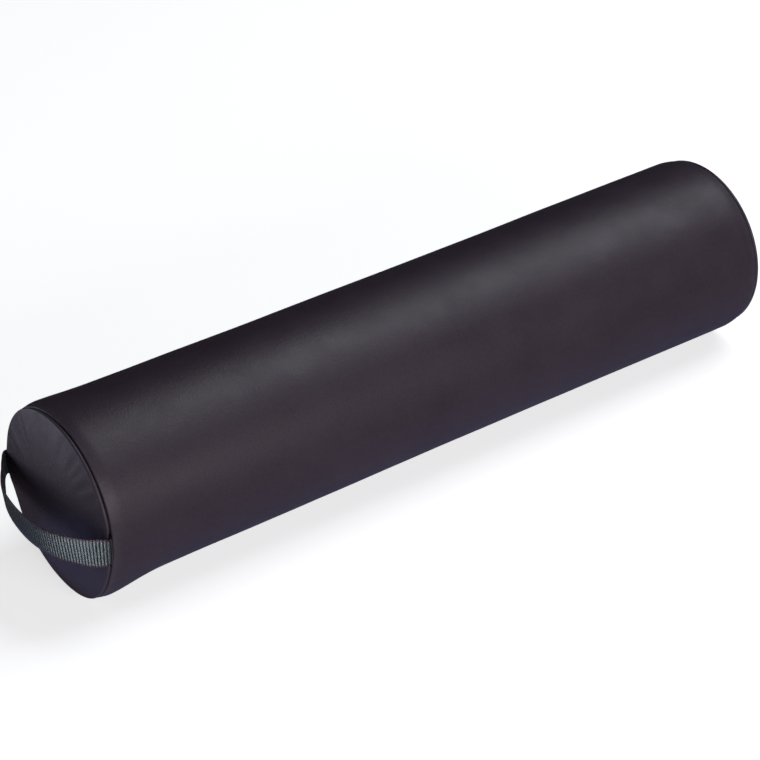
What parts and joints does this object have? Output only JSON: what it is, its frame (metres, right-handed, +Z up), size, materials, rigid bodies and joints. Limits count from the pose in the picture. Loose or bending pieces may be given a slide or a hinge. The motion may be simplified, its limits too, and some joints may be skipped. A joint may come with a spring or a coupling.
{
  "type": "bolster pillow",
  "caption": "Round massage bolster: foam cylinder in a dark vinyl cover with a lengthwise zip and a webbing carry handle bowed across one end.",
  "frame": {"origin": "on the resting face, under the middle of the tube", "axes": "+X along the tube, away from the handle; +Y to the side where the zip runs; +Z up"},
  "size_m": [0.7025, 0.154, 0.1528],
  "materials": {
    "vinyl": "satin",
    "webbing": "satin",
    "foam": "matte",
    "wadding": "matte",
    "thread": "matte",
    "zip_tape": "matte",
    "zip_coil": "satin",
    "zip_metal": "satin"
  },
  "bodies": {
    "cover": {"cover_tube": "vinyl", "cover_end_handle": "vinyl", "cover_end_plain": "vinyl", "foam_core": "foam", "foam_wrap": "wadding", "strap_tail_front": "webbing", "strap_tail_back": "webbing", "seam_thread_handle": "thread", "seam_thread_plain": "thread", "zip_tape_upper": "zip_tape", "zip_tape_lower": "zip_tape", "zip_coil_upper": "zip_coil", "zip_coil_lower": "zip_coil", "zip_stop_upper": "zip_metal", "zip_stop_lower": "zip_metal", "zip_bottom_stop": "zip_metal", "zip_thread_upper": "thread", "zip_thread_lower": "thread", "bar_tack_handle": "thread", "bar_tack_plain": "thread"},
    "handle": {"handle_strap": "webbing"},
    "slider": {"zip_slider": "zip_metal"},
    "pull": {"zip_pull": "zip_metal"}
  },
  "joints": [
    {"name": "handle_swing", "type": "hinge", "parent": "cover", "child": "handle", "pos_m": [-0.3469, 0, 0.07229], "axis": [0, 1, 0], "range_deg": [-60, 60], "stiffness_Nm_per_rad": 0.08},
    {"name": "zip_slide", "type": "slide", "parent": "cover", "child": "slider", "axis": [-1, 0, 0], "range_m": [0, 0.548]},
    {"name": "pull_flip", "type": "hinge", "parent": "slider", "child": "pull", "pos_m": [0.274, 0.07461, 0.10295], "axis": [0, 0.342, -0.9397], "range_deg": [0, 175]}
  ]
}
